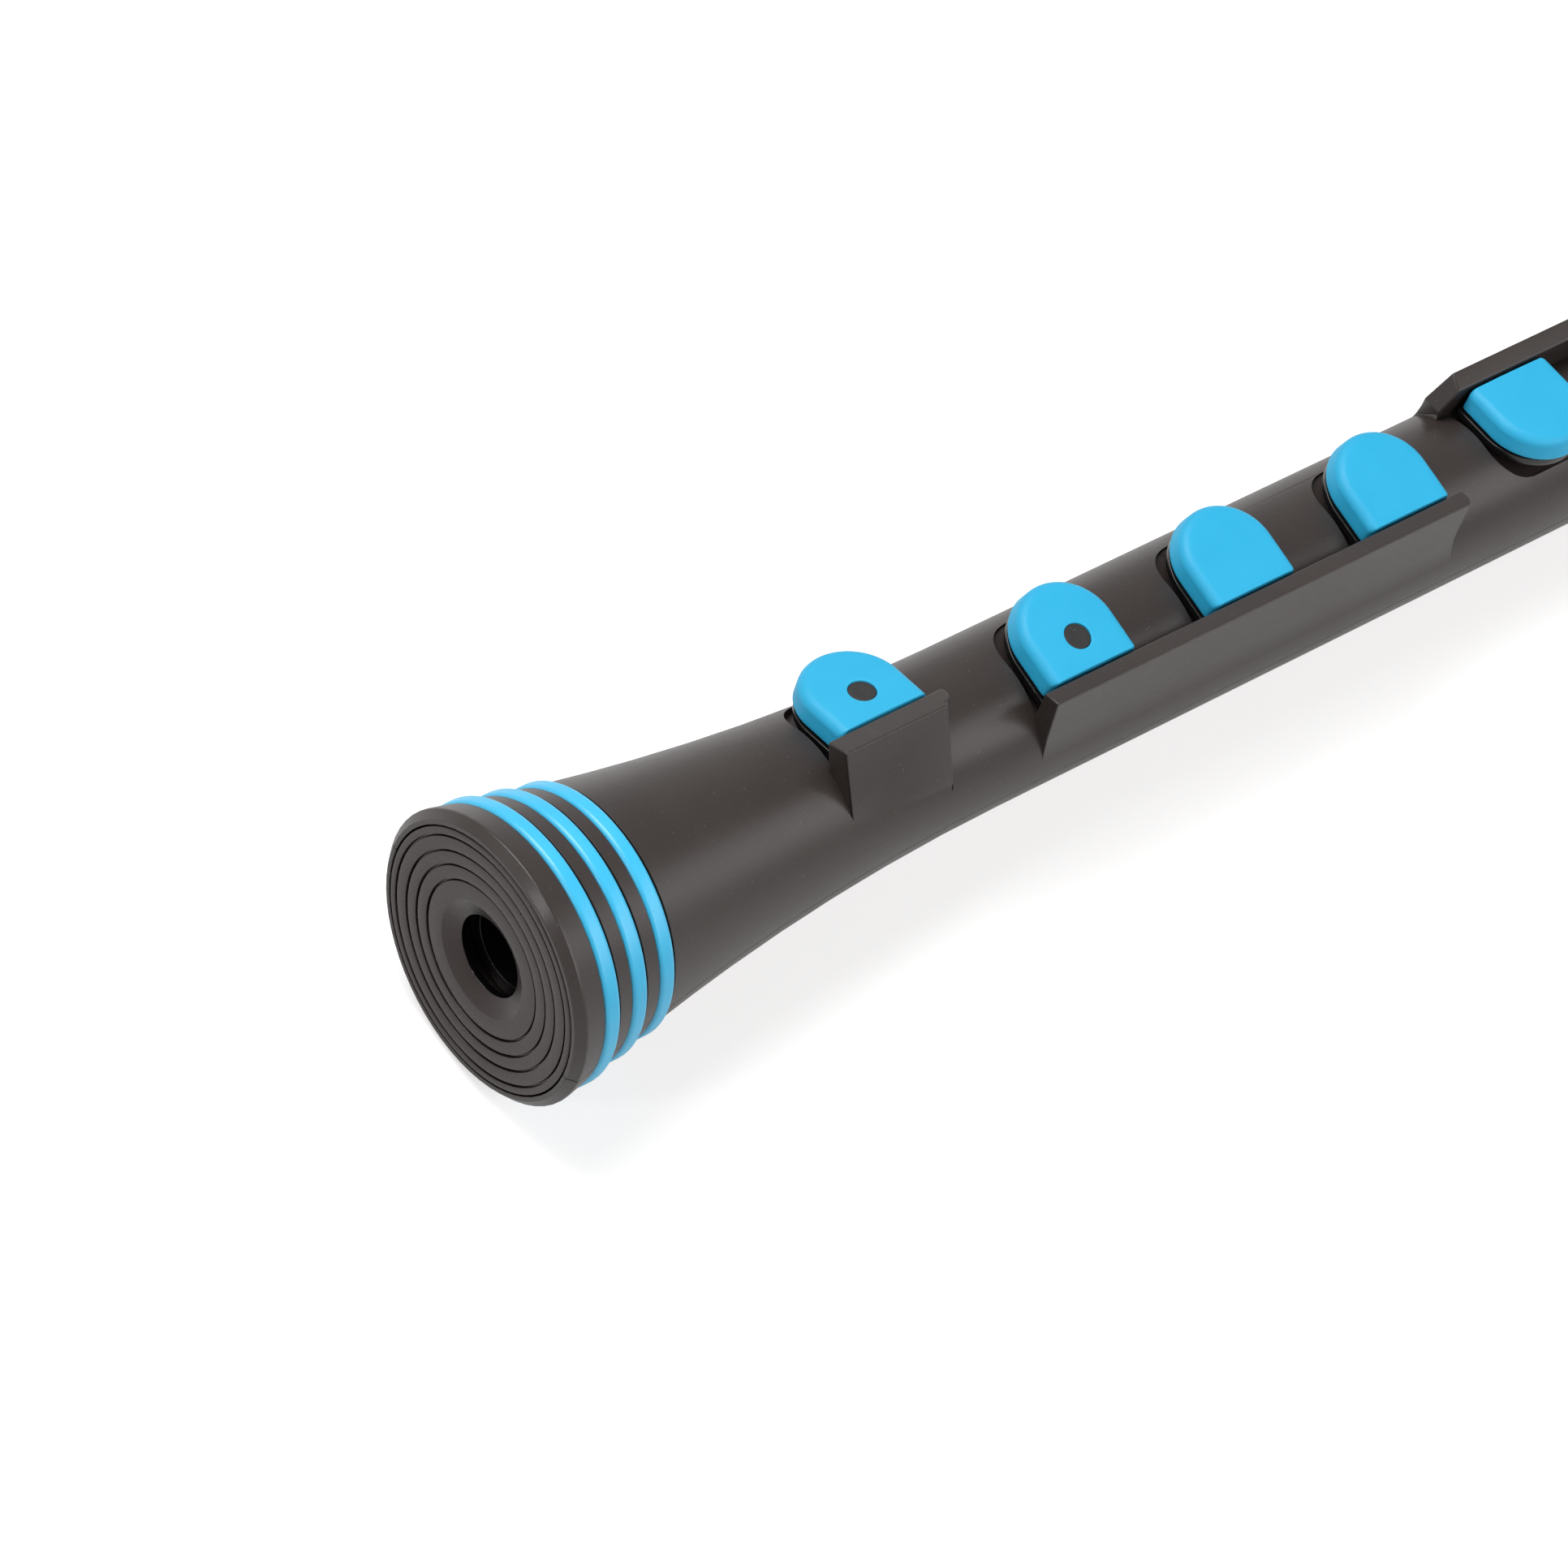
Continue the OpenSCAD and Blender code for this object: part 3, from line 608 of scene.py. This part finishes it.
# CAD nodes whose meshes stay, with a finish of their own
KEPT = {"hinge_rod_foot": steel, "hinge_rod_right": steel, "hinge_rod_left": steel,
        "spring_foot": steel, "springs_right": steel, "springs_left": steel, "socket_seal": rubber}
KEPT.update({f"key_{i}_pad": rubber for i in KEY_X})
for name, material in KEPT.items():
    nodes[name].data.materials.clear()
    nodes[name].data.materials.append(material)


# ---- floor, light and camera ----

# The card's own white, how much light the camera, or a reflection, sees added to it, and the
# tint of that light
FLOOR_WHITE, FLOOR_LIFT, MIRROR_LIFT = 0.6, 0.62, 0.27
LIFT_TINT = (1.0, 0.985, 0.98, 1.0)
# The distances from the foot at which what the camera sees starts to rise and is full
LIFT_NEAR_M, LIFT_FAR_M = 0.45, 1.1
# What the room gives as light, and what reflections see of its walls and its ceiling. The walls
# pass into the ceiling between the two heights of the ray's direction.
ROOM_LIGHT, MIRROR_WALL, MIRROR_CEILING = 0.1, 0.75, 0.3
WALL_UP_TO, CEILING_FROM = 0.1, 0.8


def mirror_rays(tree, path):
    """1 for a ray that a reflection or clear plastic sends on, otherwise 0."""
    return add(tree, "ShaderNodeMath", {
        0: path.outputs["Is Glossy Ray"], 1: path.outputs["Is Transmission Ray"]},
        operation="ADD", use_clamp=True).outputs[0]


def floor_material():
    """Matt white card. What the camera sees of it is lifted towards white, fully so far from the
    object, and less so what a reflection or clear plastic shows, while the shadow stays."""
    mat, tree, at = new_material("white card")
    path = add(tree, "ShaderNodeLightPath")
    mirrored = add(tree, "ShaderNodeMath", {
        0: mirror_rays(tree, path), 1: MIRROR_LIFT}, operation="MULTIPLY")
    away = add(tree, "ShaderNodeVectorMath", {0: at}, operation="LENGTH").outputs["Value"]
    far_lift = add(tree, "ShaderNodeMapRange", {
        "Value": away, "From Min": LIFT_NEAR_M, "From Max": LIFT_FAR_M,
        "To Min": FLOOR_LIFT, "To Max": 1.0})
    lift = add(tree, "ShaderNodeMath", {
        0: path.outputs["Is Camera Ray"], 1: far_lift.outputs["Result"], 2: mirrored.outputs[0]},
        operation="MULTIPLY_ADD")
    card = add(tree, "ShaderNodeBsdfDiffuse", {"Color": (FLOOR_WHITE,) * 3 + (1.0,)})
    glow = add(tree, "ShaderNodeEmission", {"Color": LIFT_TINT, "Strength": lift.outputs[0]})
    both = add(tree, "ShaderNodeAddShader", {0: card.outputs[0], 1: glow.outputs[0]})
    add(tree, "ShaderNodeOutputMaterial", {"Surface": both.outputs[0]})
    return mat


# The recorder lies on the rim of its foot and on the socket, so the floor slopes against the
# bore. The two places are (x, z), and the floor is a square of twice the half side.
REST_FOOT, REST_SOCKET, FLOOR_HALF = (1.25, -17.52), (253.3, -12.22), 1500.0
slope = (REST_SOCKET[1] - REST_FOOT[1]) / (REST_SOCKET[0] - REST_FOOT[0])
floor = mesh_object("floor", [
    (REST_FOOT[0] + u * FLOOR_HALF, v * FLOOR_HALF, REST_FOOT[1] + u * FLOOR_HALF * slope)
    for u, v in ((-1, -1), (1, -1), (1, 1), (-1, 1))], [(0, 1, 2, 3)])
floor.data.materials.append(floor_material())

world = bpy.data.worlds.new("white room")
scene.world = world
world.use_nodes = True
tree = world.node_tree
tree.nodes.clear()
path = add(tree, "ShaderNodeLightPath")
direction = add(tree, "ShaderNodeTexCoord").outputs["Generated"]
upward = add(tree, "ShaderNodeSeparateXYZ", {0: direction}).outputs["Z"]
wall = add(tree, "ShaderNodeMapRange", {
    "Value": upward, "From Min": WALL_UP_TO, "From Max": CEILING_FROM,
    "To Min": MIRROR_WALL, "To Max": MIRROR_CEILING})
lit = add(tree, "ShaderNodeMix", {
    "Factor": mirror_rays(tree, path), 2: ROOM_LIGHT, 3: wall.outputs["Result"]},
    data_type="FLOAT")
room = add(tree, "ShaderNodeMix", {
    "Factor": path.outputs["Is Camera Ray"], 2: lit.outputs[0], 3: 1.0}, data_type="FLOAT")
back = add(tree, "ShaderNodeBackground", {
    "Color": (1.0, 1.0, 1.0, 1.0), "Strength": room.outputs[0]})
add(tree, "ShaderNodeOutputWorld", {"Surface": back.outputs[0]})


def soft_box(name, place, aim, side, power):
    """A square soft box that faces a point."""
    data = bpy.data.lights.new(name, "AREA")
    data.shape = "SQUARE"
    data.size = side * MM
    data.energy = power
    obj = linked(name, data)
    obj.location = Vector(place) * MM
    obj.rotation_mode = "QUATERNION"
    obj.rotation_quaternion = (Vector(aim) - Vector(place)).to_track_quat("-Z", "Y")


KEYS_MIDDLE, FOOT_END = (90, 0, 0), (0, 0, 0)
soft_box("key light", (-70, 430, 770), KEYS_MIDDLE, 620, 7.2)
soft_box("front light", (90, -690, 580), KEYS_MIDDLE, 600, 2.9)
soft_box("right light", (580, -490, 580), KEYS_MIDDLE, 600, 2.1)
soft_box("left light", (-400, 480, 560), KEYS_MIDDLE, 600, 0.9)
soft_box("foot light", (-700, 30, 420), FOOT_END, 70, 0.7)

# The photograph's camera: its place, its axes, its focal length and the photograph's width in
# pixels, and the width of the sensor that Blender takes
CAMERA_PLACE_M = (-0.34942, -0.22711, 0.58953)
RIGHT = (0.76408, -0.57815, 0.28622)
DOWN = (-0.36848, -0.7553, -0.54199)
AHEAD = (0.52953, 0.30865, -0.79014)
FOCAL_PX, PHOTO_PX, SENSOR = 8200, 1932, 36.0
CLIP_START_M, CLIP_END_M = 0.02, 20.0
cam_data = bpy.data.cameras.new("camera")
cam_data.sensor_width = SENSOR
cam_data.lens = SENSOR * FOCAL_PX / PHOTO_PX
cam_data.clip_start, cam_data.clip_end = CLIP_START_M, CLIP_END_M
cam = linked("camera", cam_data)
turn = Matrix([RIGHT, [-v for v in DOWN], [-v for v in AHEAD]]).transposed()
cam.matrix_world = Matrix.Translation(CAMERA_PLACE_M) @ turn.to_4x4()
scene.camera = cam
scene.view_settings.view_transform = "Standard"
